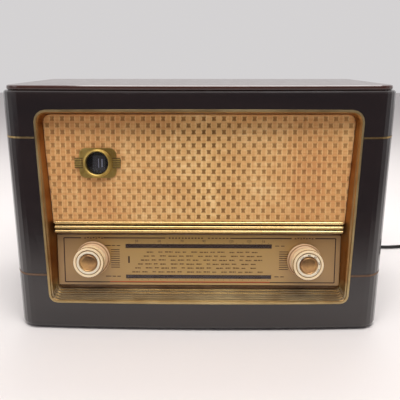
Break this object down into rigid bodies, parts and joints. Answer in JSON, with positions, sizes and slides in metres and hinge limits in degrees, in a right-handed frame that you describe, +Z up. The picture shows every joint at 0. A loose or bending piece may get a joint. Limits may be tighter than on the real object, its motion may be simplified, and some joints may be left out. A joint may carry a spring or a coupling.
{
  "type": "tabletop radio",
  "caption": "Valve table radio: dark lacquered case leaning back, brass bezel, cloth grille, magic eye, glass dial and concentric cream knobs, mains lead coiled beside it.",
  "frame": {"origin": "centre of the radio's footprint box at the table, without the mains lead", "axes": "+X to the radio's right as seen from the front, front faces -Y, +Z up"},
  "size_m": [0.7763, 0.3706, 0.3299],
  "materials": {
    "lacquered_wood": "near-black brown gloss lacquer over veneered board",
    "satin_brass": "satin anodised brass colour",
    "bright_brass": "polished brass",
    "grille_fabric": "tan grille cloth with a brown woven spot",
    "baffle_board": "raw chipboard",
    "dial_glass": "glass printed gold on its back",
    "pointer_steel": "red lacquered steel",
    "plated_steel": "zinc plated steel",
    "valve_glass": "clear bulb with a silvered top",
    "bakelite": "dark brown moulding",
    "cream_plastic": "cream moulded knob plastic",
    "drum_plastic": "moulded drum",
    "can_aluminium": "drawn aluminium",
    "transformer_iron": "varnished laminations and black steel",
    "cone_paper": "black pressed paper",
    "pressboard": "brown pressed board",
    "cord_rubber": "black rubber sheath",
    "foot_rubber": "dull black rubber"
  },
  "bodies": {
    "case": {"cabinet_case": "lacquered_wood", "front_frame": "lacquered_wood", "top_lid": "lacquered_wood", "inlay_upper_left": "bright_brass", "inlay_upper_right": "bright_brass", "inlay_lower_left": "bright_brass", "inlay_lower_right": "bright_brass", "bezel_surround": "satin_brass", "speaker_baffle": "baffle_board", "grille_cloth": "grille_fabric", "trim_bar_top": "bright_brass", "trim_bar_middle": "bright_brass", "trim_bar_bottom": "bright_brass", "dial_glass": "dial_glass", "dial_backplate": "satin_brass", "pointer_rail": "plated_steel", "eye_escutcheon": "satin_brass", "eye_tube": "valve_glass", "eye_socket": "bakelite", "volume_control": "plated_steel", "band_switch": "bakelite", "tuning_capacitor": "can_aluminium", "chassis": "plated_steel", "mains_transformer": "transformer_iron", "output_transformer": "transformer_iron", "valve_mixer": "valve_glass", "valve_if_amplifier": "valve_glass", "valve_detector": "valve_glass", "valve_output": "valve_glass", "filter_capacitor": "can_aluminium", "if_can_first": "can_aluminium", "if_can_second": "can_aluminium", "speaker_basket": "plated_steel", "speaker_cone": "cone_paper", "speaker_magnet": "transformer_iron", "dial_lamp_left": "valve_glass", "dial_lamp_right": "valve_glass", "back_panel": "pressboard", "socket_strip": "bakelite", "cord_gland": "cord_rubber", "foot_front_left": "foot_rubber", "foot_front_right": "foot_rubber", "foot_rear_left": "foot_rubber", "foot_rear_right": "foot_rubber", "mains_cord": "cord_rubber", "cord_coil": "cord_rubber", "mains_plug": "bakelite"},
    "volume": {"volume_knob": "cream_plastic", "volume_knob_cap": "satin_brass", "volume_shaft": "plated_steel"},
    "tone": {"tone_ring": "cream_plastic", "tone_sleeve": "plated_steel"},
    "band": {"band_knob": "cream_plastic", "band_knob_cap": "satin_brass", "band_shaft": "plated_steel"},
    "tuning": {"tuning_ring": "cream_plastic", "tuning_sleeve": "plated_steel"},
    "gang": {"dial_drum": "drum_plastic", "capacitor_rotor": "can_aluminium"},
    "pointer": {"dial_pointer": "pointer_steel"}
  },
  "joints": [
    {"name": "volume_turn", "type": "hinge", "parent": "case", "child": "volume", "pos_m": [-0.1492, -0.10272, 0.09432], "axis": [0, 0.9803, -0.1977], "range_deg": [0, 280]},
    {"name": "tone_turn", "type": "hinge", "parent": "case", "child": "tone", "pos_m": [-0.1492, -0.10272, 0.09432], "axis": [0, 0.9803, -0.1977], "range_deg": [-135, 135]},
    {"name": "band_turn", "type": "hinge", "parent": "case", "child": "band", "pos_m": [0.1492, -0.1032, 0.09197], "axis": [0, 0.9803, -0.1977], "range_deg": [-60, 60]},
    {"name": "tuning_turn", "type": "hinge", "parent": "case", "child": "tuning", "pos_m": [0.1492, -0.1032, 0.09197], "axis": [0, 0.9803, -0.1977], "range_deg": [0, 2080]},
    {"name": "gang_turn", "type": "hinge", "parent": "case", "child": "gang", "pos_m": [0.04, -0.09037, 0.09387], "axis": [0, 0.9803, -0.1977], "range_deg": [0, 180]},
    {"name": "pointer_slide", "type": "slide", "parent": "case", "child": "pointer", "axis": [1, 0, 0], "range_m": [0, 0.1822]}
  ],
  "couplings": [
    {"joint": "gang_turn", "follows": "tuning_turn", "ratio": 0.086207},
    {"joint": "pointer_slide", "follows": "tuning_turn", "m_per_rad": 0.005}
  ]
}
